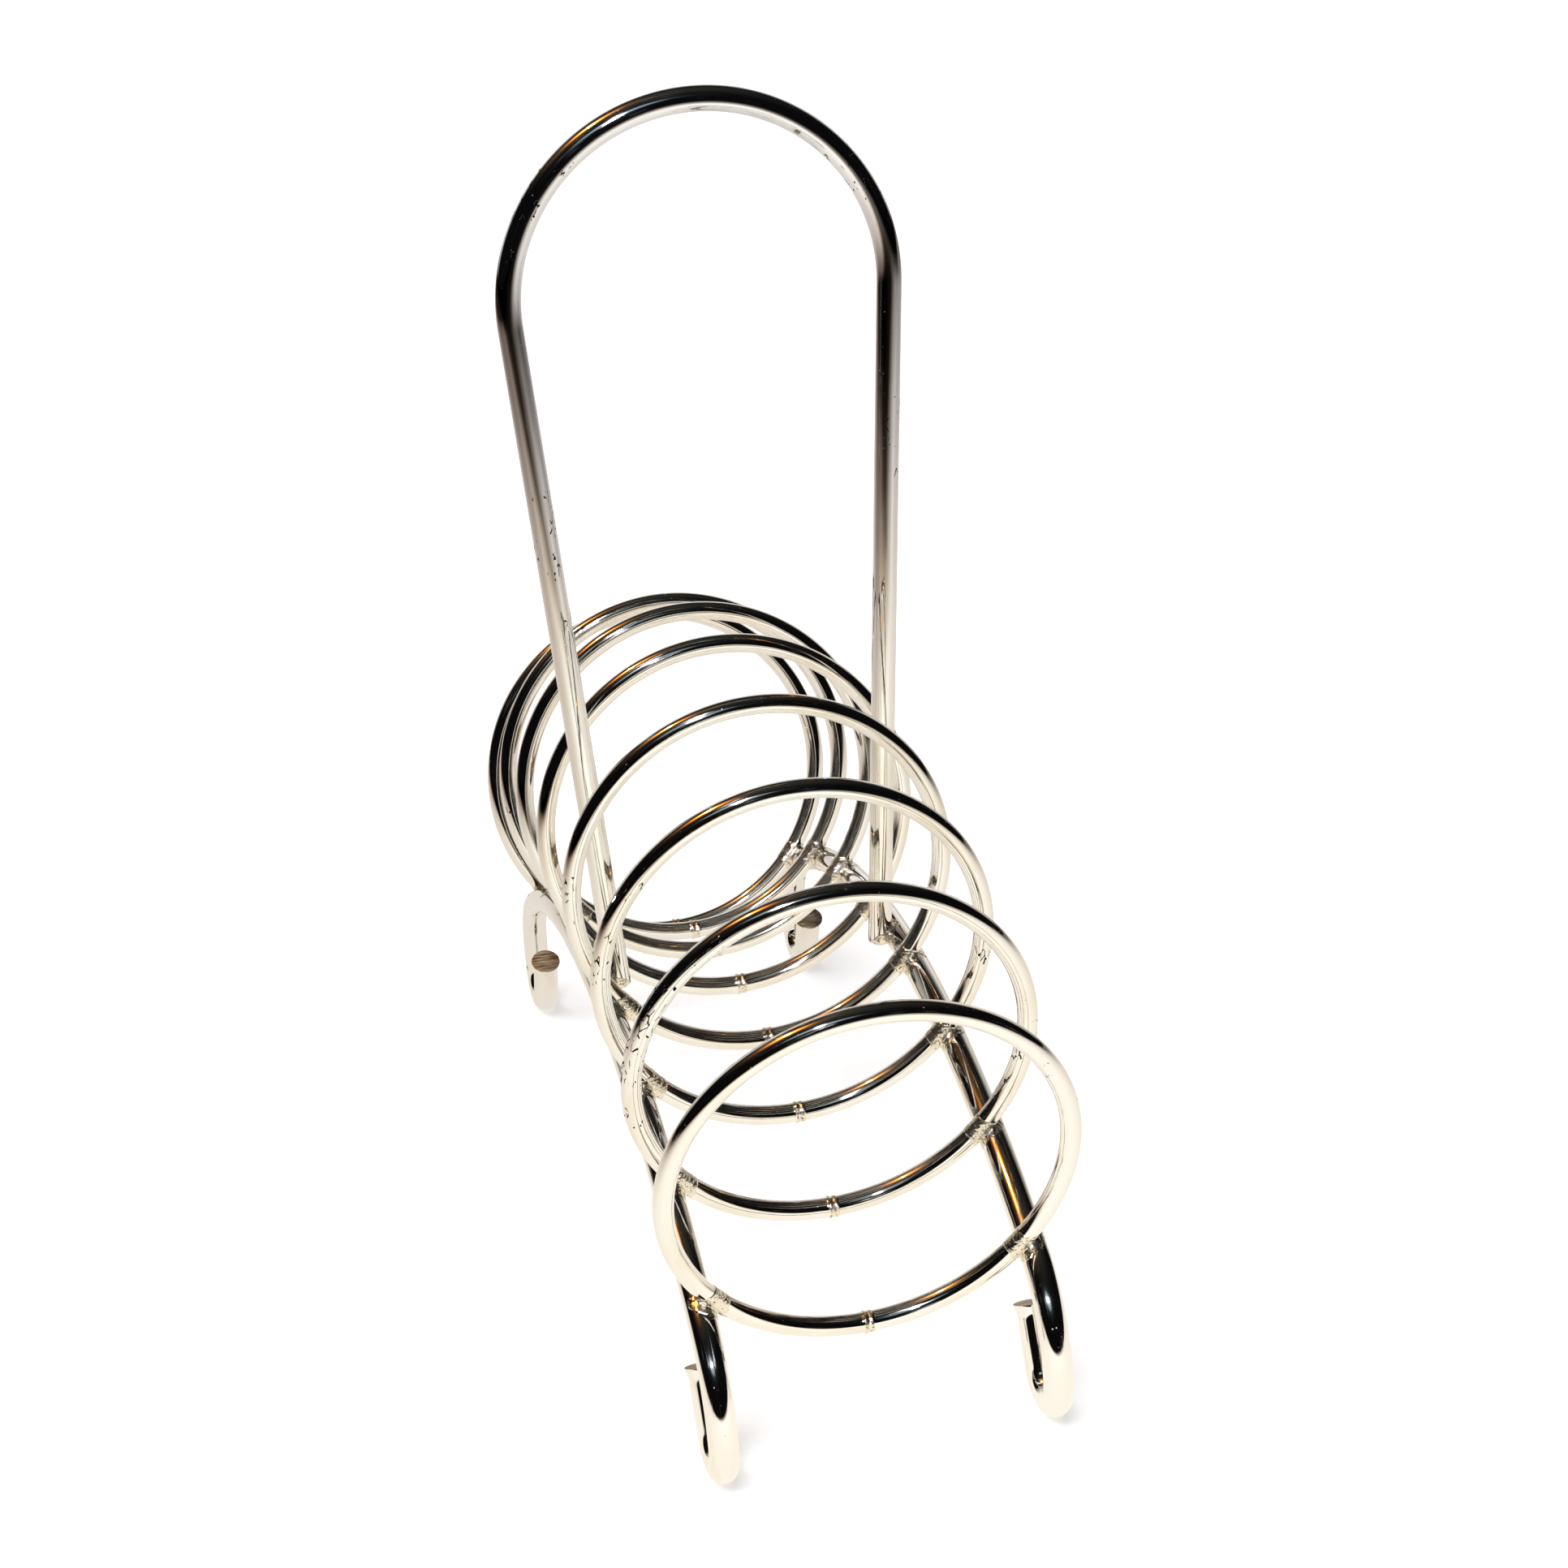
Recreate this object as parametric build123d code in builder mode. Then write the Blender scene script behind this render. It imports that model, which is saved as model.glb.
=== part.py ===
from build123d import *
from math import asin, atan2, cos, degrees, radians, sin, sqrt
import os

os.makedirs("parts", exist_ok=True)

# Toast rack bent from round steel wire and welded. X is across the rack, Y runs along it
# from ring to ring, Z is up, and the origin lies on the table under the middle of the rack.
# All lengths are in millimetres and all angles in degrees.

# Wire thicknesses.
ring_wire = 4.0
rail_wire = 5.8
handle_wire = 5.0

# Welds: crossing wires sink into each other, and a small fillet spreads round the crossing.
weld_set_down = 1.2
weld_spread = 0.7

# Rings: closed hoops that hold the slices, counted from the front.
ring_count = 8
ring_diameter = 82.0
ring_spacing = 27.3
end_ring_lean = 13.0
butt_weld_length = 2.2
butt_weld_rise = 0.2

# Rails: two arched wires under the rings, each ending in hooked feet.
rail_spacing = 65.6
arch_radius = 191.6
arch_overrun = 1.5
foot_bend_radius = 24.0
leg_length = 1.6
hook_radius = 6.0
hook_turn = 155.0
tail_length = 12.6
end_flare = 0.5
end_flare_length = 2.6
end_flare_rim = 0.4

# Handle: one tall hoop, open at the bottom, welded inside the rails at mid-length.
handle_bend_radius = 37.8
handle_bend_height = 145.5
handle_end_drop = 1.1
handle_end_round = 1.8

# The arch ends a little past the last ring, where the foot bend turns the wire straight down.
last_station = (ring_count - 1) / 2
arch_angle = degrees((last_station * ring_spacing + arch_overrun) / arch_radius)
arch_drop = arch_radius * (1 - cos(radians(arch_angle)))
foot_bend_drop = foot_bend_radius * cos(radians(arch_angle))
crown_height = arch_drop + foot_bend_drop + leg_length + hook_radius + rail_wire / 2

rail_x = rail_spacing / 2
ring_radius = (ring_diameter - ring_wire) / 2

# The rings rest between the rails, so they hang a little below them.
ring_seat = ring_radius + ring_wire / 2 + rail_wire / 2 - weld_set_down
ring_rise = sqrt(ring_seat**2 - rail_x**2)

# Each handle leg touches the inner side of its rail and runs up, tangent to the top bend.
handle_seat = rail_wire / 2 + handle_wire / 2 - weld_set_down
handle_foot_x = rail_x - handle_seat
handle_reach = sqrt(handle_foot_x**2 + handle_bend_height**2)
foot_to_centre = degrees(atan2(handle_foot_x, handle_bend_height))
handle_leg_lean = degrees(asin(handle_bend_radius / handle_reach)) - foot_to_centre

# Both rails are the same bent wire: tail, hook, leg, foot bend, arch and back again. The
# shears that cut the wire left each end spread into a thin rim.
rails = []
for rail_name, x in (("rail_left", -rail_x), ("rail_right", rail_x)):
    rail_plane = Plane(origin=(x, 0, crown_height), x_dir=(0, 1, 0), z_dir=(1, 0, 0))
    with BuildPart() as rail:
        with BuildLine(rail_plane) as rail_path:
            arch = JernArc((0, 0), (1, 0), arch_radius, -arch_angle)
            foot_bend = JernArc(arch @ 1, arch % 1, foot_bend_radius, arch_angle - 90)
            leg = PolarLine(foot_bend @ 1, leg_length, direction=foot_bend % 1)
            hook = JernArc(leg @ 1, leg % 1, hook_radius, -hook_turn)
            tail = PolarLine(hook @ 1, tail_length - end_flare_length, direction=hook % 1)
            mirror(about=Plane.XZ)
        wire_path = rail_path.wires()[0]
        with BuildSketch(Plane(origin=wire_path @ 0, z_dir=wire_path % 0)):
            Circle(rail_wire / 2)
        sweep(path=wire_path)
        for wire_end, outward in ((wire_path @ 0, -(wire_path % 0)), (wire_path @ 1, wire_path % 1)):
            with BuildSketch(Plane(origin=wire_end, x_dir=(1, 0, 0), z_dir=Vector(1, 0, 0).cross(outward))):
                with BuildLine():
                    rim_start = (rail_wire / 2 + end_flare, end_flare_length - end_flare_rim)
                    Line((0, 0), (rail_wire / 2, 0))
                    TangentArc((rail_wire / 2, 0), rim_start, tangent=(0, 1))
                    Polyline(rim_start, (rim_start[0], end_flare_length), (0, end_flare_length), (0, 0))
                make_face()
            revolve(axis=Axis(wire_end, outward))
    rail.part.label = rail_name
    export_step(rail.part, f"parts/{rail_name}.step")
    rails.append(rail.part)

for number in range(1, ring_count + 1):
    # Rings are welded at equal steps along the arch. They fan out from the middle, each
    # leaning further than the one before it by an ever smaller step.
    station = number - 1 - last_station
    along_arch = station * ring_spacing / arch_radius
    from_middle = abs(station) / last_station
    lean = end_ring_lean * (1 - (1 - from_middle) ** 2) * (1 if station > 0 else -1)
    ring_up = Vector(0, sin(radians(lean)), cos(radians(lean)))
    weld_line = Vector(0, arch_radius * sin(along_arch), crown_height - arch_radius * (1 - cos(along_arch)))
    ring_centre = weld_line + ring_up * ring_rise
    ring_axis = Axis(ring_centre, Vector(0, ring_up.Z, -ring_up.Y))
    with BuildPart() as ring:
        with BuildSketch(Plane(origin=ring_centre, x_dir=(1, 0, 0), z_dir=ring_up)):
            with Locations((ring_radius, 0)):
                Circle(ring_wire / 2)
        revolve(axis=ring_axis)
        # The hoop's ends are butt welded at its lowest point.
        with BuildSketch(Plane(origin=ring_centre - ring_up * ring_radius, z_dir=(1, 0, 0))):
            Circle(ring_wire / 2 + butt_weld_rise)
        extrude(amount=butt_weld_length / 2, both=True)
        # Fillet metal where the hoop crosses each rail, then the hollow the rail fills.
        for side in (-1, 1):
            to_rail = (Vector(side * rail_x, 0, 0) - ring_up * ring_rise).normalized()
            weld_centre = ring_centre + to_rail * (ring_radius + ring_wire / 2 - weld_set_down / 2)
            with Locations(weld_centre):
                Sphere(ring_wire / 2 + weld_spread)
        for rail_part in rails:
            add(rail_part, mode=Mode.SUBTRACT)
    ring.part.label = f"ring_{number}"
    export_step(ring.part, f"parts/ring_{number}.step")

with BuildPart() as handle:
    handle_plane = Plane(origin=(0, 0, crown_height), x_dir=(1, 0, 0), z_dir=(0, -1, 0))
    with BuildLine(handle_plane) as handle_path:
        top_bend = CenterArc((0, handle_bend_height), handle_bend_radius, -handle_leg_lean, 180 + 2 * handle_leg_lean)
        leg_run = ((top_bend @ 0).Z - crown_height + handle_end_drop) / cos(radians(handle_leg_lean))
        PolarLine(top_bend @ 0, leg_run, direction=-(top_bend % 0))
        PolarLine(top_bend @ 1, leg_run, direction=top_bend % 1)
    handle_wire_path = handle_path.wires()[0]
    with BuildSketch(Plane(origin=handle_wire_path @ 0, z_dir=handle_wire_path % 0)):
        Circle(handle_wire / 2)
    sweep(path=handle_wire_path)
    fillet(handle.edges().filter_by(GeomType.CIRCLE).sort_by(Axis.Z)[:2], handle_end_round)
    for side in (-1, 1):
        with Locations((side * (handle_foot_x + handle_wire / 2 - weld_set_down / 2), 0, crown_height)):
            Sphere(handle_wire / 2 + weld_spread)
    for rail_part in rails:
        add(rail_part, mode=Mode.SUBTRACT)
handle.part.label = "handle"
export_step(handle.part, "parts/handle.step")
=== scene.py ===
from math import asin, atan2, ceil, cos, degrees, exp, pi, radians, sin, sqrt, tan

import bmesh
import bpy
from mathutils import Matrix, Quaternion, Vector


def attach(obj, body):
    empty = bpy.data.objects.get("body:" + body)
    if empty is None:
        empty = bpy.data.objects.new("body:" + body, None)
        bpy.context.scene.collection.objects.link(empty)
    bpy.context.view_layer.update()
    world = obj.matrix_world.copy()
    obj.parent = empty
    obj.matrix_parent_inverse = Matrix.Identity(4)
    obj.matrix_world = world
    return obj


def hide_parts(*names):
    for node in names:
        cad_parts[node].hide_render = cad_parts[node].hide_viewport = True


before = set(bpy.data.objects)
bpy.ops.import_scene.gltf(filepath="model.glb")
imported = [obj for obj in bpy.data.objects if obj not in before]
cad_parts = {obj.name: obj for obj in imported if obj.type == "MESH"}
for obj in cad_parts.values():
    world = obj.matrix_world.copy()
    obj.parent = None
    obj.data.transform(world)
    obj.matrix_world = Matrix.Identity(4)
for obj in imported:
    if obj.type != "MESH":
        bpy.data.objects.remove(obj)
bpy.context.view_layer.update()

# ---------------------------------------------------------------------------------------
# Rails. Each is one length of round drawn mild-steel wire, bent cold on formers into an
# arch with a hooked foot at both ends. The rack stands on the four hooks, and every other
# wire is welded to the rails. The shear that cut the wire spread its ends into a thin rim.

mm = 0.001
rail_thickness = 5.8 * mm
rail_apart = 65.6 * mm
arch_radius = 191.6 * mm
arch_overrun = 1.5 * mm
foot_bend_radius = 24.0 * mm
foot_leg = 1.6 * mm
hook_radius = 6.0 * mm
hook_turn = 155.0
foot_tail = 12.6 * mm

# A cut end flares out to a thin rim. Its face rises a little inside the rim, and is dished
# in the middle.
flare_length = 2.2 * mm
flare_width = 0.5 * mm
flare_steps = 4
rim_length = 0.4 * mm
burr_width = 0.35 * mm
burr_height = 0.1 * mm
dish_width = 1.6 * mm
dish_depth = 0.15 * mm

# The arch reaches a little past the weld of the last hoop. The hoops are counted from the
# middle in steps, so the last one stands at station 3.5.
hoop_count = 8
hoop_step = 27.3 * mm
last_station = (hoop_count - 1) / 2
arch_angle = (last_station * hoop_step + arch_overrun) / arch_radius

# The crown is the height of the wire's middle at the top of the arch. A run of wire is
# (length, 0) where it is straight and (radius, turn in degrees) where it is bent. The tail
# sets out downward, at the heading from which the hook turns it straight up into the leg.
crown = (arch_radius * (1 - cos(arch_angle)) + foot_bend_radius * cos(arch_angle) + foot_leg
         + hook_radius + rail_thickness / 2)
bent_foot = [(foot_tail, 0), (hook_radius, -hook_turn), (foot_leg, 0),
             (foot_bend_radius, -(90 - degrees(arch_angle)))]
rail_runs = bent_foot + [(arch_radius, -2 * degrees(arch_angle))] + bent_foot[::-1]
tail_heading = 90 + hook_turn


def run_length(runs):
    """Length of wire in a list of runs."""
    return sum(size * radians(abs(turn)) if turn else size for size, turn in runs)


def pick(piece, kind, wanted):
    """In edit mode, selects just the verts, edges or faces of the piece that wanted() picks."""
    bpy.ops.mesh.select_mode(type={"verts": "VERT", "edges": "EDGE", "faces": "FACE"}[kind])
    bpy.ops.mesh.select_all(action="DESELECT")
    shape = bmesh.from_edit_mesh(piece.data)
    for item in getattr(shape, kind):
        if wanted(item):
            item.select_set(True)
    shape.select_flush_mode()
    bmesh.update_edit_mesh(piece.data)


def lengthwise(edge):
    """True for an edge that runs along a straight wire and not round it."""
    return abs(edge.verts[0].co.x - edge.verts[1].co.x) > 0.001 * mm


def end_face(face):
    """True for a face that closes an end of a straight wire."""
    return abs(face.normal.x) > 0.9


wire_sides = 40


def straight_wire(name, thickness, start, end, cuts):
    """Round wire lying straight along X, left in edit mode. Its length is divided once for
    each number in cuts, and each time every part of it gets that many cuts."""
    bpy.ops.object.select_all(action="DESELECT")
    bpy.ops.mesh.primitive_cylinder_add(vertices=wire_sides, radius=thickness / 2, depth=end - start,
                                        location=((start + end) / 2, 0, 0), rotation=(0, pi / 2, 0))
    wire = bpy.context.object
    wire.name = name
    bpy.ops.object.transform_apply(location=True, rotation=True, scale=True)
    bpy.ops.object.mode_set(mode="EDIT")
    for number_cuts in cuts:
        pick(wire, "edges", lengthwise)
        bpy.ops.mesh.subdivide(number_cuts=number_cuts)
    return wire


map_length = 20 * mm


def mark_wire(wire, shift, wear_spots):
    """Notes on each point where it lay on the straight wire, so that a finish follows the
    bends, and how worn the plate is there. shift keeps the finish of one wire from looking
    like another's, and wear_spots holds (place, reach, amount). A map laid along and round
    the wire gives the direction that it was drawn in."""
    points = [vertex.co.copy() for vertex in wire.data.vertices]
    place = wire.data.attributes.new("wire_place", "FLOAT_VECTOR", "POINT")
    place.data.foreach_set("vector", [value for x, y, z in points for value in (x + shift, y, z)])
    wear = wire.data.attributes.new("wear", "FLOAT", "POINT")
    wear.data.foreach_set("value", [
        sum(amount * exp(-((x - spot) / reach) ** 2) for spot, reach, amount in wear_spots)
        for x, y, z in points])
    drawn = wire.data.uv_layers.new(name="drawn")
    laid = []
    for face in wire.data.polygons:
        turns = [atan2(points[v].z, points[v].y) / (2 * pi) for v in face.vertices]
        # A face that lies over the seam of the map has its near side moved on by a whole turn.
        if max(turns) - min(turns) > 0.5:
            turns = [turn + 1 if turn < 0 else turn for turn in turns]
        for v, turn in zip(face.vertices, turns):
            laid += [points[v].x / map_length, turn]
    drawn.data.foreach_set("uv", laid)


def trace(heading, runs):
    """Follows the runs from (0, 0), setting out at heading degrees. Returns the corners of
    the line, each as the handle before it, the corner and the handle after it. An arc is
    cut into parts of 30 degrees or less, and the handles round each part."""
    most_turn = 30
    point, angle = Vector((0, 0)), radians(heading)
    corners = [[point, point, point]]
    for size, turn in runs:
        parts = max(1, ceil(abs(turn) / most_turn))
        step = radians(turn) / parts
        for _ in range(parts):
            chord = 2 * size * sin(abs(step) / 2) if turn else size
            arm = 4 / 3 * tan(abs(step) / 4) * size if turn else size / 3
            corners[-1][2] = point + arm * Vector((cos(angle), sin(angle)))
            point = point + chord * Vector((cos(angle + step / 2), sin(angle + step / 2)))
            angle += step
            corners.append([point - arm * Vector((cos(angle), sin(angle))), point, point])
    return corners


def bend(wire, origin, across, up, heading, runs):
    """Bends a straight wire along the runs, in the plane of across and up."""
    corners = trace(heading, runs)
    line = bpy.data.curves.new(wire.name + "_line", "CURVE")
    line.dimensions = "3D"
    line.resolution_u = 64
    spline = line.splines.new("BEZIER")
    spline.bezier_points.add(len(corners) - 1)
    for knot, corner in zip(spline.bezier_points, corners):
        knot.handle_left_type = knot.handle_right_type = "FREE"
        knot.handle_left, knot.co, knot.handle_right = (origin + a * across + b * up for a, b in corner)
    former = bpy.data.objects.new(wire.name + "_line", line)
    bpy.context.scene.collection.objects.link(former)
    bending = wire.modifiers.new("bend", "CURVE")
    bending.object = former
    bending.deform_axis = "POS_X"
    bpy.context.view_layer.objects.active = wire
    bpy.ops.object.modifier_apply(modifier="bend")
    bpy.data.objects.remove(former)


def linear(hex_colour):
    """An sRGB colour as hex digits, turned to the linear values that a node holds."""
    channels = [int(hex_colour[i:i + 2], 16) / 255 for i in (0, 2, 4)]
    return [c / 12.92 if c <= 0.04045 else ((c + 0.055) / 1.055) ** 2.4 for c in channels] + [1.0]


def add_node(tree, kind, feeds=(), stops=(), **settings):
    """Adds a node and sets its properties or inputs by name. feeds holds (input, output of
    another node or plain value), and stops holds a colour ramp's (position, hex colour)."""
    node = tree.nodes.new(kind)
    for name, value in settings.items():
        if hasattr(node, name):
            setattr(node, name, value)
        else:
            node.inputs[name.replace("_", " ")].default_value = value
    for socket, feed in feeds:
        if isinstance(feed, bpy.types.NodeSocket):
            tree.links.new(feed, node.inputs[socket])
        else:
            node.inputs[socket].default_value = feed
    for _ in stops[2:]:
        node.color_ramp.elements.new(0.5)
    for number, (position, hex_colour) in enumerate(stops):
        node.color_ramp.elements[number].position = position
        node.color_ramp.elements[number].color = linear(hex_colour)
    return node


def cells(along, across):
    """The scale of a pattern with cells so long along the wire and so wide across it."""
    return 1 / along, 1 / across, 1 / across


# Bright nickel plate on drawn steel wire: a warm white mirror, slightly wavy where it was
# bent, with faint lines left by the drawing die. Where slices and fingers rub it is pitted
# and cracked in short dark hairlines.
plate = bpy.data.materials.new("bright_nickel_plate")
plate.use_nodes = True
tree = plate.node_tree
surface = tree.nodes["Principled BSDF"]
surface.inputs["Metallic"].default_value = 1.0
place = add_node(tree, "ShaderNodeAttribute", attribute_name="wire_place").outputs["Vector"]
worn = add_node(tree, "ShaderNodeAttribute", attribute_name="wear").outputs["Fac"]

# Waves in the wire, 18 mm long and 4 mm across, and die lines 0.3 mm apart. Real die lines
# are finer than 0.1 mm, and are drawn coarser so that they show.
wave_place = add_node(tree, "ShaderNodeMapping", [("Vector", place)], Scale=cells(18 * mm, 4 * mm))
waves = add_node(tree, "ShaderNodeTexNoise", [("Vector", wave_place.outputs[0])], Scale=1.0, Detail=1.0)
die_place = add_node(tree, "ShaderNodeMapping", [("Vector", place)], Scale=cells(9 * mm, 0.3 * mm))
die_lines = add_node(tree, "ShaderNodeTexNoise", [("Vector", die_place.outputs[0])], Scale=1.0, Detail=2.0)

# Round pits up to 0.4 mm across, about 1.3 mm apart, in about half of the cells.
pit_place = add_node(tree, "ShaderNodeMapping", [("Vector", place)], Scale=cells(1.3 * mm, 1.1 * mm))
pit_cells = add_node(tree, "ShaderNodeTexVoronoi", [("Vector", pit_place.outputs[0])], Scale=1.0)
pit_size = add_node(tree, "ShaderNodeMapRange", [("Value", pit_cells.outputs["Color"])],
                    From_Min=0.45, From_Max=1.0, To_Min=0.0, To_Max=0.16)
pits = add_node(tree, "ShaderNodeMath", [(0, pit_cells.outputs["Distance"]), (1, pit_size.outputs[0])],
                operation="LESS_THAN")

# Fine pinholes all over the plate, up to 0.3 mm across, that are dull but not dark.
grit_place = add_node(tree, "ShaderNodeMapping", [("Vector", place)], Scale=cells(0.7 * mm, 0.7 * mm))
grit_cells = add_node(tree, "ShaderNodeTexVoronoi", [("Vector", grit_place.outputs[0])], Scale=1.0)
grit_size = add_node(tree, "ShaderNodeMapRange", [("Value", grit_cells.outputs["Color"])],
                     From_Min=0.6, From_Max=1.0, To_Min=0.0, To_Max=0.2)
grit = add_node(tree, "ShaderNodeMapRange",
                [("Value", grit_cells.outputs["Distance"]), ("From Max", grit_size.outputs[0])],
                From_Min=0.0, To_Min=1.0, To_Max=0.0)

# Hairline cracks one or two millimetres long, mostly lengthwise and about 0.15 mm wide. They
# lie along the walls of cells 3.2 mm long and 1.1 mm wide, broken up by a noise.
crack_reach = 0.06       # of a cell, to each side of its wall
crack_gaps = 0.52        # of the noise, where it leaves a gap
crack_place = add_node(tree, "ShaderNodeMapping", [("Vector", place)], Scale=cells(3.2 * mm, 1.1 * mm))
crack_cells = add_node(tree, "ShaderNodeTexVoronoi", [("Vector", crack_place.outputs[0])],
                       feature="DISTANCE_TO_EDGE", Scale=1.0)
cracks = add_node(tree, "ShaderNodeMath", [(0, crack_cells.outputs["Distance"]), (1, crack_reach)],
                  operation="LESS_THAN")
break_place = add_node(tree, "ShaderNodeMapping", [("Vector", place)], Scale=cells(1.6 * mm, 1.1 * mm))
breaks = add_node(tree, "ShaderNodeTexNoise", [("Vector", break_place.outputs[0])], Scale=1.0, Detail=1.0)
unbroken = add_node(tree, "ShaderNodeMath", [(0, breaks.outputs[0]), (1, crack_gaps)],
                    operation="GREATER_THAN")

# Pits and cracks show only in patches about 5 mm long, where a noise from 0 to 1 and the
# wear that is marked on the wire add up to enough.
wear_to_crack = 0.8
wear_to_pit = 0.76
patch_place = add_node(tree, "ShaderNodeMapping", [("Vector", place)], Scale=cells(5 * mm, 3 * mm))
patches = add_node(tree, "ShaderNodeTexNoise", [("Vector", patch_place.outputs[0])], Scale=1.0, Detail=2.0)
wear_here = add_node(tree, "ShaderNodeMath", [(0, patches.outputs[0]), (1, worn)], operation="ADD")
cracked = add_node(tree, "ShaderNodeMath", [(0, wear_here.outputs[0]), (1, wear_to_crack)],
                   operation="GREATER_THAN")
pitted = add_node(tree, "ShaderNodeMath", [(0, wear_here.outputs[0]), (1, wear_to_pit)],
                  operation="GREATER_THAN")
crack_line = add_node(tree, "ShaderNodeMath", [(0, cracks.outputs[0]), (1, unbroken.outputs[0])],
                      operation="MULTIPLY")
crack_mask = add_node(tree, "ShaderNodeMath", [(0, crack_line.outputs[0]), (1, cracked.outputs[0])],
                      operation="MULTIPLY")
pit_mask = add_node(tree, "ShaderNodeMath", [(0, pits.outputs[0]), (1, pitted.outputs[0])],
                    operation="MULTIPLY")
damage = add_node(tree, "ShaderNodeMath", [(0, crack_mask.outputs[0]), (1, pit_mask.outputs[0])],
                  operation="MAXIMUM")

# Low down the plate is a little yellow in some patches and near white in others. It is
# whiter and faintly blue toward the top of the handle. Steel in a pit or crack is dark.
tone_place = add_node(tree, "ShaderNodeMapping", [("Vector", place)], Scale=cells(22 * mm, 5 * mm))
tone = add_node(tree, "ShaderNodeTexNoise", [("Vector", tone_place.outputs[0])], Scale=1.0, Detail=3.0)
tints = add_node(tree, "ShaderNodeValToRGB", [("Fac", tone.outputs[0])],
                 [(0.36, "F4F0E6"), (0.5, "FAF8F3"), (0.64, "F8F9F7")])
here = add_node(tree, "ShaderNodeTexCoord")
level = add_node(tree, "ShaderNodeSeparateXYZ", [("Vector", here.outputs["Object"])])
toward_top = add_node(tree, "ShaderNodeMapRange", [("Value", level.outputs["Z"])],
                 From_Min=120 * mm, From_Max=190 * mm)
top_tint = add_node(tree, "ShaderNodeMixRGB", [("Fac", toward_top.outputs[0]), ("Color1", tints.outputs[0]),
                                                 ("Color2", linear("F1F3F9"))])
colour = add_node(tree, "ShaderNodeMixRGB", [("Fac", damage.outputs[0]), ("Color1", top_tint.outputs[0]),
                                             ("Color2", linear("2A241C"))])
tree.links.new(colour.outputs[0], surface.inputs["Base Color"])

# Between the mirror bright lands the die lines are rough across, so a lamp is drawn out
# into a thin bright band round the wire. The inside of a pit, crack or pinhole is dull.
dullness = 0.5
haze = add_node(tree, "ShaderNodeMapRange", [("Value", die_lines.outputs[0])],
                From_Min=0.58, From_Max=0.78, To_Min=0.05, To_Max=0.3)
flaws = add_node(tree, "ShaderNodeMath", [(0, damage.outputs[0]), (1, grit.outputs[0])], operation="MAXIMUM")
roughness = add_node(tree, "ShaderNodeMath", [(0, flaws.outputs[0]), (1, dullness), (2, haze.outputs[0])],
                     operation="MULTIPLY_ADD")
tree.links.new(roughness.outputs[0], surface.inputs["Roughness"])
surface.inputs["Anisotropic"].default_value = 0.9
surface.inputs["Anisotropic Rotation"].default_value = 0.25
drawn_way = add_node(tree, "ShaderNodeTangent", direction_type="UV_MAP", uv_map="drawn")
tree.links.new(drawn_way.outputs[0], surface.inputs["Tangent"])

wave_bump = add_node(tree, "ShaderNodeBump", [("Height", waves.outputs[0])],
                     Strength=1.0, Distance=0.05 * mm)
die_bump = add_node(tree, "ShaderNodeBump",
                    [("Height", die_lines.outputs[0]), ("Normal", wave_bump.outputs[0])],
                    Strength=1.0, Distance=0.003 * mm)
grit_bump = add_node(tree, "ShaderNodeBump", [("Height", grit.outputs[0]), ("Normal", die_bump.outputs[0])],
                     Strength=1.0, Distance=0.03 * mm, invert=True)
damage_bump = add_node(tree, "ShaderNodeBump",
                       [("Height", damage.outputs[0]), ("Normal", grit_bump.outputs[0])],
                       Strength=1.0, Distance=0.02 * mm, invert=True)
tree.links.new(damage_bump.outputs[0], surface.inputs["Normal"])

# Sheared steel at the cut ends: grey and matt, scored across by the blade and browned,
# because the plate took badly there. The scores lie 0.35 mm apart.
sheared = bpy.data.materials.new("sheared_mild_steel")
sheared.use_nodes = True
tree = sheared.node_tree
surface = tree.nodes["Principled BSDF"]
surface.inputs["Metallic"].default_value = 1.0
here = add_node(tree, "ShaderNodeTexCoord")
score_place = add_node(tree, "ShaderNodeMapping", [("Vector", here.outputs["Object"])],
                       Scale=cells(4 * mm, 0.35 * mm))
scores = add_node(tree, "ShaderNodeTexNoise", [("Vector", score_place.outputs[0])], Scale=1.0, Detail=3.0)
browned = add_node(tree, "ShaderNodeValToRGB", [("Fac", scores.outputs[0])],
                   [(0.35, "5E4A34"), (0.65, "C8BCA6")])
tree.links.new(browned.outputs[0], surface.inputs["Base Color"])
matt = add_node(tree, "ShaderNodeMapRange", [("Value", scores.outputs[0])], To_Min=0.55, To_Max=0.3)
tree.links.new(matt.outputs[0], surface.inputs["Roughness"])
score_bump = add_node(tree, "ShaderNodeBump", [("Height", scores.outputs[0])],
                      Strength=1.0, Distance=0.08 * mm)
tree.links.new(score_bump.outputs[0], surface.inputs["Normal"])

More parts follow.
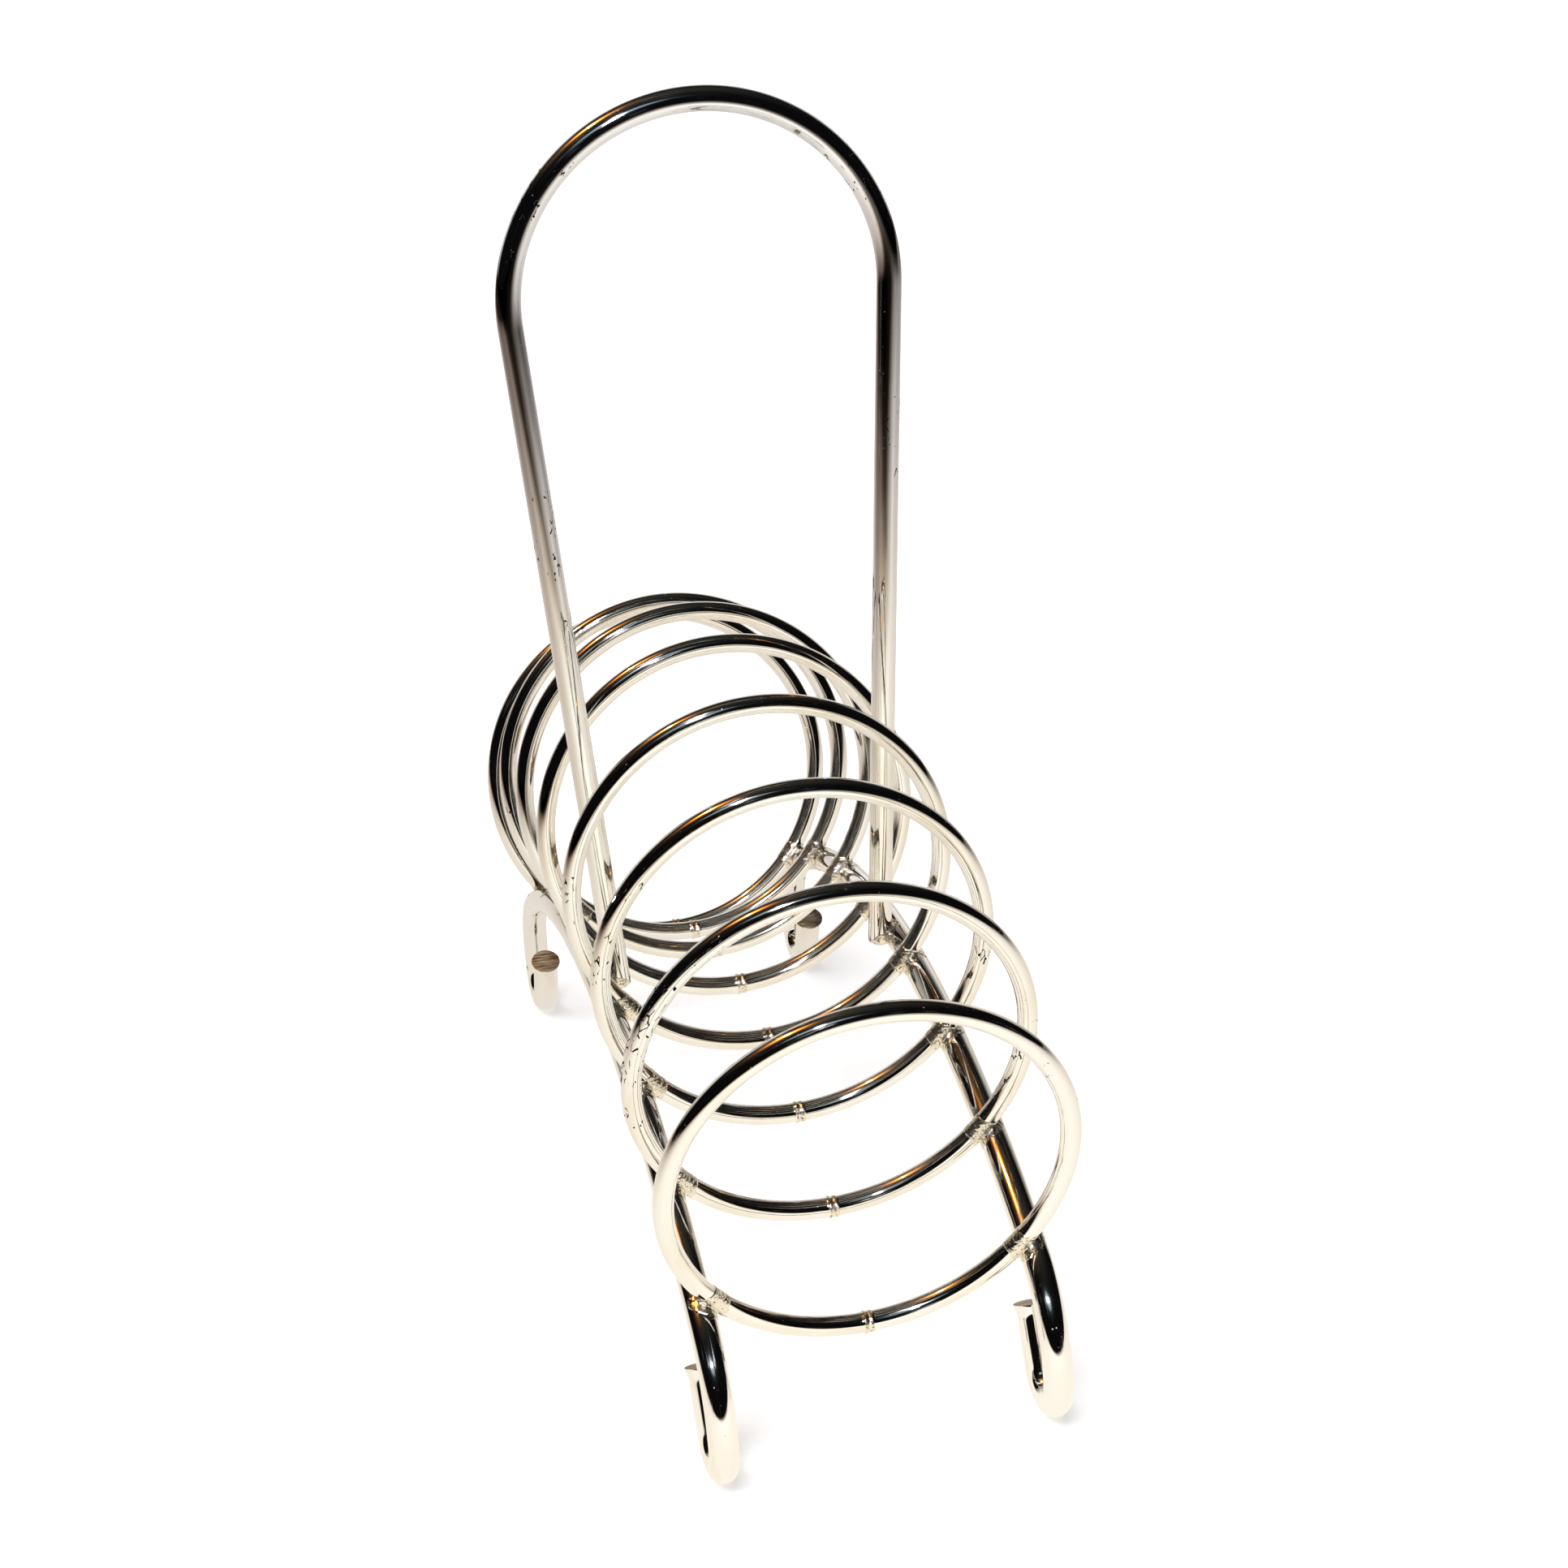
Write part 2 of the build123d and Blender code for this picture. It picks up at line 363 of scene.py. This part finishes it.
# Each end of the plain wire is drawn out step by step into the flare and the rim, and its
# face is then inset twice. Places along the wire count from the cut face.
end_length = flare_length + rim_length
rail_length = run_length(rail_runs)
rail_wear = [(60 * mm, 20 * mm, 0.14), (250 * mm, 30 * mm, 0.16)]
smooth_angle = radians(35)
rails = []
for side, node in ((-1, "rail_left"), (1, "rail_right")):
    rail = straight_wire("bent_" + node, rail_thickness, end_length, rail_length - end_length, (21, 21))
    rail.data.materials.append(plate)
    rail.data.materials.append(sheared)
    for outward in (-1, 1):
        end = end_length if outward < 0 else rail_length - end_length
        pick(rail, "faces", lambda f: end_face(f) and f.normal.x * outward > 0)
        wide = rail_thickness / 2
        for step in range(1, flare_steps + 1):
            wider = rail_thickness / 2 + flare_width * (step / flare_steps) ** 2
            end += outward * flare_length / flare_steps
            bpy.ops.mesh.extrude_region_move(
                TRANSFORM_OT_translate={"value": (outward * flare_length / flare_steps, 0, 0)})
            bpy.ops.transform.resize(value=(1, wider / wide, wider / wide), center_override=(end, 0, 0))
            wide = wider
        bpy.ops.mesh.extrude_region_move(TRANSFORM_OT_translate={"value": (outward * rim_length, 0, 0)})
        rail.active_material_index = 1
        bpy.ops.object.material_slot_assign()
        bpy.ops.mesh.inset(thickness=burr_width, depth=burr_height)
        bpy.ops.mesh.inset(thickness=dish_width, depth=-dish_depth)
    bpy.ops.object.mode_set(mode="OBJECT")
    mark_wire(rail, side * 0.5, rail_wear)
    crown_from_tail = trace(tail_heading, bent_foot + [(arch_radius, -degrees(arch_angle))])[-1][1]
    rail_start = Vector((side * rail_apart / 2, -crown_from_tail.x, crown - crown_from_tail.y))
    bend(rail, rail_start, Vector((0, 1, 0)), Vector((0, 0, 1)), tail_heading, rail_runs)
    bpy.ops.object.shade_smooth_by_angle(angle=smooth_angle)
    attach(rail, "root")
    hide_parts(node)
    rails.append(rail)

# ---------------------------------------------------------------------------------------
# Hoops. Eight rings of thinner drawn wire stand between the rails and fan out from the
# middle, to hold seven slices. Each was rolled round and its ends butt welded at the lowest
# point, which leaves a low double ridge.

hoop_thickness = 4.0 * mm
hoop_radius = 39.0 * mm
end_lean = 13.0
set_down = 1.2 * mm

# The butt weld squeezes out one ridge on each side of the joint. The wire is divided more
# finely in the zone round them, and the metal within their reach is weld flash.
ridge_zone = 2.3 * mm
ridge_reach = 1.1 * mm
ridge_peak = 0.55 * mm
ridge_spread = 0.4 * mm
ridge_height = 0.2 * mm

# A hoop is wider than the gap between the rails, so it rests a little way down between them.
hoop_seat = hoop_radius + hoop_thickness / 2 + rail_thickness / 2 - set_down
hoop_rise = sqrt(hoop_seat ** 2 - (rail_apart / 2) ** 2)
hoop_runs = [(hoop_radius, 360.0)]
hoop_length = run_length(hoop_runs)

# Squeezed-out weld metal under the plate: bright but lumpy, with dark specks of scale. The
# lumps are 0.9 mm across and the specks 0.5 mm.
flash = bpy.data.materials.new("plated_weld_flash")
flash.use_nodes = True
tree = flash.node_tree
surface = tree.nodes["Principled BSDF"]
surface.inputs["Metallic"].default_value = 1.0
here = add_node(tree, "ShaderNodeTexCoord")
lumps = add_node(tree, "ShaderNodeTexNoise", [("Vector", here.outputs["Object"])],
                 Scale=1 / (0.9 * mm), Detail=3.0)
specks = add_node(tree, "ShaderNodeTexNoise", [("Vector", here.outputs["Object"])],
                  Scale=1 / (0.5 * mm), Detail=2.0)
speckled = add_node(tree, "ShaderNodeValToRGB", [("Fac", specks.outputs[0])],
                    [(0.3, "4A4034"), (0.42, "F2EBDA")])
tree.links.new(speckled.outputs[0], surface.inputs["Base Color"])
satin = add_node(tree, "ShaderNodeMapRange", [("Value", lumps.outputs[0])], To_Min=0.26, To_Max=0.08)
tree.links.new(satin.outputs[0], surface.inputs["Roughness"])
lump_bump = add_node(tree, "ShaderNodeBump", [("Height", lumps.outputs[0])], Strength=1.0, Distance=0.25 * mm)
tree.links.new(lump_bump.outputs[0], surface.inputs["Normal"])

# The ends are swollen on the straight wire, once for all the hoops.
same_place = 0.0002 * mm
blank = straight_wire("hoop_blank", hoop_thickness, 0.0, hoop_length, (20, 20))
blank.data.materials.append(plate)
blank.data.materials.append(flash)
pick(blank, "faces", end_face)
bpy.ops.mesh.delete(type="ONLY_FACE")
for end in (0.0, hoop_length):
    pick(blank, "edges", lambda e: lengthwise(e) and all(abs(v.co.x - end) < ridge_zone for v in e.verts))
    bpy.ops.mesh.subdivide(number_cuts=2)
    shape = bmesh.from_edit_mesh(blank.data)
    for x in sorted({round(v.co.x, 7) for v in shape.verts if abs(v.co.x - end) < ridge_zone}):
        swell = ridge_height * exp(-((abs(x - end) - ridge_peak) / ridge_spread) ** 2)
        grow = 1 + swell / (hoop_thickness / 2)
        pick(blank, "verts", lambda v: abs(v.co.x - x) < same_place)
        bpy.ops.transform.resize(value=(1, grow, grow), center_override=(x, 0, 0))
    pick(blank, "faces", lambda f: all(abs(v.co.x - end) < ridge_reach for v in f.verts))
    blank.active_material_index = 1
    bpy.ops.object.material_slot_assign()
bpy.ops.object.mode_set(mode="OBJECT")

# Where each hoop's plate is worn, as degrees round it from the butt weld, reach and amount.
hoop_wear = {1: [(115, 25, 0.2)], 2: [(80, 30, 0.3), (-108, 42, 0.35)],
             3: [(75, 28, 0.3), (-110, 30, 0.26)], 4: [(-95, 25, 0.22)], 6: [(60, 20, 0.2)],
             7: [(-90, 25, 0.22)]}
hoops = []
crossings = []
for number in range(1, hoop_count + 1):
    station = number - 1 - last_station
    from_middle = abs(station) / last_station
    lean = radians(end_lean * (1 - (1 - from_middle) ** 2)) * (1 if station > 0 else -1)
    along = station * hoop_step / arch_radius
    hoop_up = Vector((0, sin(lean), cos(lean)))
    weld_line = Vector((0, arch_radius * sin(along), crown - arch_radius * (1 - cos(along))))
    centre = weld_line + hoop_up * hoop_rise
    bpy.ops.object.select_all(action="DESELECT")
    hoop = blank.copy()
    hoop.data = blank.data.copy()
    hoop.name = f"hoop_{number}"
    bpy.context.scene.collection.objects.link(hoop)
    hoop.select_set(True)
    bpy.context.view_layer.objects.active = hoop
    spots = [((turn % 360) / 360 * hoop_length, reach / 360 * hoop_length, amount)
             for turn, reach, amount in hoop_wear.get(number, [])]
    mark_wire(hoop, number * 0.4, spots)
    bend(hoop, centre - hoop_up * hoop_radius, Vector((1, 0, 0)), hoop_up, 0, hoop_runs)
    # The two ends now meet, and their points are merged.
    bpy.ops.object.mode_set(mode="EDIT")
    bpy.ops.mesh.select_all(action="SELECT")
    bpy.ops.mesh.remove_doubles(threshold=0.02 * mm)
    bpy.ops.object.mode_set(mode="OBJECT")
    bpy.ops.object.shade_smooth()
    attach(hoop, "root")
    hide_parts(f"ring_{number}")
    hoops.append(hoop)
    to_rails = [(Vector((side * rail_apart / 2, 0, 0)) - hoop_up * hoop_rise).normalized()
                for side in (-1, 1)]
    crossings.append([centre + way * (hoop_radius + (hoop_thickness - set_down) / 2) for way in to_rails])
bpy.data.objects.remove(blank)

# ---------------------------------------------------------------------------------------
# Handle. One length of wire between the other two in thickness, bent round at the top and
# open at the bottom. Its legs are welded to the inner sides of the rails at mid-length, and
# their ends were tumbled round.

handle_thickness = 5.0 * mm
handle_bend_radius = 37.8 * mm
handle_bend_height = 145.5 * mm
handle_drop = 1.1 * mm
handle_end_round = 1.8 * mm

# The legs lean out, at the angle that runs straight on into the bend at the top.
handle_foot = rail_apart / 2 - (rail_thickness + handle_thickness) / 2 + set_down
handle_reach = sqrt(handle_foot ** 2 + handle_bend_height ** 2)
leg_lean = asin(handle_bend_radius / handle_reach) - atan2(handle_foot, handle_bend_height)
leg_run = (handle_bend_height - handle_bend_radius * sin(leg_lean) + handle_drop) / cos(leg_lean)
handle_runs = [(leg_run, 0), (handle_bend_radius, -(180 + 2 * degrees(leg_lean))), (leg_run, 0)]

handle_wear = [(170 * mm, 14 * mm, 0.3), (245 * mm, 12 * mm, 0.28), (100 * mm, 18 * mm, 0.24),
               (300 * mm, 18 * mm, 0.22)]
handle = straight_wire("carrying_handle", handle_thickness, 0.0, run_length(handle_runs), (21, 21))
handle.data.materials.append(plate)
pick(handle, "faces", end_face)
bpy.ops.mesh.region_to_loop()
bpy.ops.mesh.bevel(offset=handle_end_round, segments=8, clamp_overlap=False)
bpy.ops.object.mode_set(mode="OBJECT")
mark_wire(handle, 4.0, handle_wear)
leg_top = Vector((-handle_bend_radius * cos(leg_lean), 0,
                  crown + handle_bend_height - handle_bend_radius * sin(leg_lean)))
leg_heading = 90 + degrees(leg_lean)
leg_way = Vector((cos(radians(leg_heading)), 0, sin(radians(leg_heading))))
bend(handle, leg_top - leg_way * leg_run, Vector((1, 0, 0)), Vector((0, 0, 1)), leg_heading, handle_runs)
bpy.ops.object.shade_smooth_by_angle(angle=smooth_angle)
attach(handle, "root")
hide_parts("handle")

# ---------------------------------------------------------------------------------------
# Welds. The wires were pressed together under current, so they sink into each other and
# squeeze out a little metal, which lies as a small uneven fillet in the corners.

weld_reach = 4.2 * mm
weld_grain = 0.16 * mm
weld_rounds = 22
weld_swell = 0.1 * mm


def fuse(name, wires, places):
    """Weld metal round each place: short stubs of the wires, fused and smoothed until only
    the fillet in their corners stands out of the wires."""
    bpy.ops.object.select_all(action="DESELECT")
    for wire in wires:
        stub = wire.copy()
        stub.data = wire.data.copy()
        bpy.context.scene.collection.objects.link(stub)
        stub.select_set(True)
        bpy.context.view_layer.objects.active = stub
    bpy.ops.object.join()
    weld = bpy.context.object
    weld.name = name
    weld.parent = None
    weld.data.materials.clear()
    weld.data.materials.append(flash)
    bpy.ops.object.mode_set(mode="EDIT")
    pick(weld, "verts", lambda v: all((v.co - place).length > weld_reach for place in places))
    bpy.ops.mesh.delete(type="VERT")
    bpy.ops.mesh.select_mode(type="EDGE")
    bpy.ops.mesh.select_all(action="DESELECT")
    bpy.ops.mesh.select_non_manifold()
    bpy.ops.mesh.fill_holes(sides=0)
    bpy.ops.mesh.select_all(action="SELECT")
    bpy.ops.mesh.normals_make_consistent(inside=False)
    bpy.ops.object.mode_set(mode="OBJECT")
    remesh = weld.modifiers.new("fuse", "REMESH")
    remesh.mode = "VOXEL"
    remesh.voxel_size = weld_grain
    smooth = weld.modifiers.new("smooth", "SMOOTH")
    smooth.factor = 0.5
    smooth.iterations = weld_rounds
    swell = weld.modifiers.new("swell", "DISPLACE")
    swell.strength = weld_swell
    swell.mid_level = 0.0
    for modifier in ("fuse", "smooth", "swell"):
        bpy.ops.object.modifier_apply(modifier=modifier)
    bpy.ops.object.shade_smooth()
    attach(weld, "root")


for number, (hoop, places) in enumerate(zip(hoops, crossings), 1):
    fuse(f"hoop_{number}_welds", [hoop] + rails, places)
handle_crossings = [Vector((side * (handle_foot + (handle_thickness - set_down) / 2), 0, crown))
                    for side in (-1, 1)]
fuse("handle_welds", [handle] + rails, handle_crossings)

# ---------------------------------------------------------------------------------------
# Table. A plain white top that runs out of sight, with the rack's soft shadow on it. Seen in
# the wire it shows painted light: pools painted behind the rack and on its right, and painted
# shade that falls off into the dark in front and on the left.

bpy.ops.object.select_all(action="DESELECT")
bpy.ops.mesh.primitive_circle_add(vertices=64, radius=3.0, fill_type="NGON", location=(0, 0, 0))
floor = bpy.context.object
floor.name = "table_top"
top = bpy.data.materials.new("white_table_top")
top.use_nodes = True
tree = top.node_tree
tree.nodes.clear()
here = add_node(tree, "ShaderNodeTexCoord")
seen = add_node(tree, "ShaderNodeLightPath")


def paint_pool(centre, squeeze, stops):
    """An oval pool of light painted on the table: colours by the distance from its centre, which
    is measured in metres after X and Y are multiplied by squeeze."""
    spread = add_node(tree, "ShaderNodeMapping", [("Vector", here.outputs["Object"])],
                      Scale=(squeeze[0], squeeze[1], 1.0))
    squeezed_centre = (centre[0] * squeeze[0], centre[1] * squeeze[1], 0)
    away = add_node(tree, "ShaderNodeVectorMath", [(0, spread.outputs[0]), (1, squeezed_centre)],
                    operation="DISTANCE")
    ramp = add_node(tree, "ShaderNodeValToRGB", [("Fac", away.outputs["Value"])], stops)
    return ramp.outputs["Color"]


# The main painted pool of light ends in front of the rack, and a second one lies on its right.
# The painted light is creamy near the rack, greyer further off, and painted shade dims it toward
# both sides of the table.
main_painted_pool = paint_pool((0.0, 1.6), (0.4, 0.4),
                 [(0.74, "FFFFFF"), (0.76, "F3F0EC"), (0.78, "D2CAC2"), (0.80, "A89E92"),
                  (0.82, "6E655C"), (0.84, "403832"), (0.88, "1C1917"), (0.92, "161413")])
right_painted_pool = paint_pool((0.4, -0.15), (1, 1),
                  [(0.18, "FFFFFF"), (0.26, "D6D4D2"), (0.32, "CECCCA"), (0.36, "B8B6B4"),
                   (0.42, "A4A29E"), (0.48, "8C8884"), (0.54, "6A6662"), (0.60, "5E5A56"),
                   (0.66, "38342F"), (0.75, "161413")])
painted_pools = add_node(tree, "ShaderNodeMixRGB", [("Color1", main_painted_pool), ("Color2", right_painted_pool)],
                 blend_type="LIGHTEN", Fac=1.0)
# Painted light: the pools fade from cream just in front of the rack to grey further off.
painted_falloff = paint_pool((0.0, -0.27), (1.25, 1.0),
             [(0.0, "FFFEF4"), (0.10, "FFFBEE"), (0.16, "F8F1E4"), (0.25, "EEE6D9"),
              (0.35, "E2DACF"), (0.50, "D8D0C7"), (0.75, "CFC8C2")])
across = add_node(tree, "ShaderNodeSeparateXYZ", [("Vector", here.outputs["Object"])])
from_left = add_node(tree, "ShaderNodeMapRange", [("Value", across.outputs["X"])],
                     From_Min=-0.8, From_Max=0.8)
# Painted shade: the pools are darkened toward the left and right edges of the table.
painted_side_shade = add_node(tree, "ShaderNodeValToRGB", [("Fac", from_left.outputs[0])],
                [(0.0, "2A2522"), (0.127, "86786F"), (0.188, "A0968E"), (0.249, "C4BCB4"),
                 (0.311, "E6E0DA"), (0.42, "FFFFFF"), (0.70, "FFFFFF"), (0.875, "C0C0C0"),
                 (1.0, "8A8A88")])
painted_falloff_pools = add_node(tree, "ShaderNodeMixRGB", [("Color1", painted_pools.outputs[0]), ("Color2", painted_falloff)],
                  blend_type="MULTIPLY", Fac=1.0)
painted_pools_shaded = add_node(tree, "ShaderNodeMixRGB", [("Color1", painted_falloff_pools.outputs[0]), ("Color2", painted_side_shade.outputs[0])],
                  blend_type="MULTIPLY", Fac=1.0)

# Looked at straight, the top is matt white, with a glow that keeps it as white as what is
# behind it and leaves the rack's shadow. In the wire it shows only the painted pools of light
# and painted shade, as a glow of their own and not as lit white.
top_glow = 0.45
matt_top = add_node(tree, "ShaderNodeBsdfDiffuse", Color=linear("F2F3F6"))
fill = add_node(tree, "ShaderNodeMath", [(0, seen.outputs["Is Camera Ray"]), (1, top_glow)],
                operation="MULTIPLY")
glow = add_node(tree, "ShaderNodeEmission", [("Strength", fill.outputs[0])])
plain = add_node(tree, "ShaderNodeAddShader", [(0, matt_top.outputs[0]), (1, glow.outputs[0])])
# Painted light: rays reflected by the metal see the painted pools and shade as a glow.
painted_pool_glow = add_node(tree, "ShaderNodeEmission", [("Color", painted_pools_shaded.outputs[0])], Strength=1.12)
whole = add_node(tree, "ShaderNodeMixShader",
                 [("Fac", seen.outputs["Is Glossy Ray"]), (1, plain.outputs[0]), (2, painted_pool_glow.outputs[0])])
add_node(tree, "ShaderNodeOutputMaterial", [("Surface", whole.outputs[0])])
floor.data.materials.append(top)

# ---------------------------------------------------------------------------------------
# Light. A broad soft lamp above lights the table. The room shows in the metal: dark, with a
# warm lamp high on the left, a white lamp in front of a window, and a pale wall at the back.

lamp_data = bpy.data.lights.new("soft_lamp", "SUN")
lamp_data.energy = 2.6
lamp_data.angle = radians(50)
lamp = bpy.data.objects.new("soft_lamp", lamp_data)
bpy.context.scene.collection.objects.link(lamp)
lamp.rotation_euler = (radians(14), radians(-16), 0)
lamp.visible_glossy = False


def toward(azimuth, elevation):
    """Unit vector at an azimuth from +Y toward +X and an elevation above the table."""
    a, e = radians(azimuth), radians(elevation)
    return Vector((sin(a) * cos(e), cos(a) * cos(e), sin(e)))


# The two small lamps make the stars in the wire: name, azimuth, elevation, energy, colour.
small_lamps = [("warm_lamp", -66, 62, 0.65, "FFB458"), ("white_lamp", -167, 41, 3.5, "F6F2FF")]
for name, azimuth, elevation, energy, hex_colour in small_lamps:
    star_data = bpy.data.lights.new(name, "SUN")
    star_data.energy = energy
    star_data.angle = radians(3.5)
    star_data.color = linear(hex_colour)[:3]
    star = bpy.data.objects.new(name, star_data)
    bpy.context.scene.collection.objects.link(star)
    star.rotation_mode = "QUATERNION"
    star.rotation_quaternion = toward(azimuth, elevation).to_track_quat("Z", "Y")
    star.visible_diffuse = False

room = bpy.data.worlds.new("dark_room")
bpy.context.scene.world = room
room.use_nodes = True
tree = room.node_tree
tree.nodes.clear()
direction = add_node(tree, "ShaderNodeTexCoord").outputs["Generated"]


def round_light(azimuth, elevation, strength, stops, wide=1.0):
    """A light in the room, round or widened: stops holds (degrees from its centre, colour)."""
    facing_it = toward(azimuth, elevation).to_track_quat("Z", "Y").to_euler()
    turned = add_node(tree, "ShaderNodeMapping", [("Vector", direction)], vector_type="TEXTURE",
                      Rotation=facing_it, Scale=(wide, 1.0, 1.0))
    unit = add_node(tree, "ShaderNodeVectorMath", [(0, turned.outputs[0])], operation="NORMALIZE")
    split = add_node(tree, "ShaderNodeSeparateXYZ", [("Vector", unit.outputs[0])])
    angle = add_node(tree, "ShaderNodeMath", [(0, split.outputs["Z"])], operation="ARCCOSINE")
    share = add_node(tree, "ShaderNodeMath", [(0, angle.outputs[0]), (1, pi / 2)], operation="DIVIDE")
    ramp = add_node(tree, "ShaderNodeValToRGB", [("Fac", share.outputs[0])],
                    [(away / 90, hex_colour) for away, hex_colour in stops])
    bright = add_node(tree, "ShaderNodeVectorMath", [(0, ramp.outputs["Color"])],
                      operation="SCALE", Scale=strength)
    return bright.outputs[0]


# The pale wall behind the rack is seen low down, and ends at its sides.
height = add_node(tree, "ShaderNodeSeparateXYZ", [("Vector", direction)])
rise = add_node(tree, "ShaderNodeValToRGB", [("Fac", height.outputs["Z"])],
                [(0.0, "F6F0EA"), (0.25, "EEE8E2"), (0.38, "CCC6C0"), (0.5, "8A8682"),
                 (0.6, "34322F"), (0.7, "000000")])
ahead = add_node(tree, "ShaderNodeVectorMath", [(0, direction), (1, toward(8, 0))], operation="DOT_PRODUCT")
sides = add_node(tree, "ShaderNodeMapRange", [("Value", ahead.outputs["Value"])], From_Min=0.5, From_Max=0.9)
wall = add_node(tree, "ShaderNodeVectorMath", [(0, rise.outputs["Color"]), ("Scale", sides.outputs[0])],
                operation="SCALE")

# The warm lamp's shade, the window, the dim ceiling and the wall add up, over a room that is
# nearly black.
warm_shade = round_light(-66, 62, 2.6, [(3, "FFD080"), (6, "FF9C34"), (10, "A05812"), (15, "40260C"),
                                        (24, "140C05"), (36, "000000")])
window = round_light(-166, 40, 0.8, [(4, "A8BEC2"), (7, "7C9094"), (9, "2E383A"), (13, "101314"),
                                     (20, "000000")], wide=2.0)
ceiling = round_light(0, 82, 1.0, [(0, "2C2C25"), (20, "24241E"), (40, "121210"), (60, "000000")])
total = warm_shade
for light in (window, ceiling, wall.outputs[0], linear("0B0A0B")[:3]):
    total = add_node(tree, "ShaderNodeVectorMath", [(0, total), (1, light)], operation="ADD").outputs[0]

# Behind the table the view is plain white.
camera_sees = add_node(tree, "ShaderNodeLightPath")
backdrop = add_node(tree, "ShaderNodeMixRGB", [("Fac", camera_sees.outputs["Is Camera Ray"]),
                                               ("Color1", total), ("Color2", linear("FFFFFF"))])
background = add_node(tree, "ShaderNodeBackground", [("Color", backdrop.outputs[0])], Strength=1.0)
add_node(tree, "ShaderNodeOutputWorld", [("Surface", background.outputs[0])])

# ---------------------------------------------------------------------------------------
# Camera. It stands 650 mm off, in front of the rack and above it, a little to the left, and
# is slightly rolled.

camera_data = bpy.data.cameras.new("camera")
camera_data.sensor_width = 36.0
camera_data.lens = 71.13
camera = bpy.data.objects.new("camera", camera_data)
bpy.context.scene.collection.objects.link(camera)
camera_azimuth = radians(-12.15)
camera_elevation = radians(24.07)
camera_roll = radians(-3.85)
camera_distance = 646.3 * mm
camera_target = Vector((9.87 * mm, 0, 95.04 * mm))
back = Vector((sin(camera_azimuth) * cos(camera_elevation), -cos(camera_azimuth) * cos(camera_elevation),
               sin(camera_elevation)))
camera.location = camera_target + back * camera_distance
camera.rotation_mode = "QUATERNION"
camera.rotation_quaternion = (-back).to_track_quat("-Z", "Y") @ Quaternion((0, 0, 1), camera_roll)
bpy.context.scene.camera = camera
bpy.context.scene.view_settings.view_transform = "Standard"
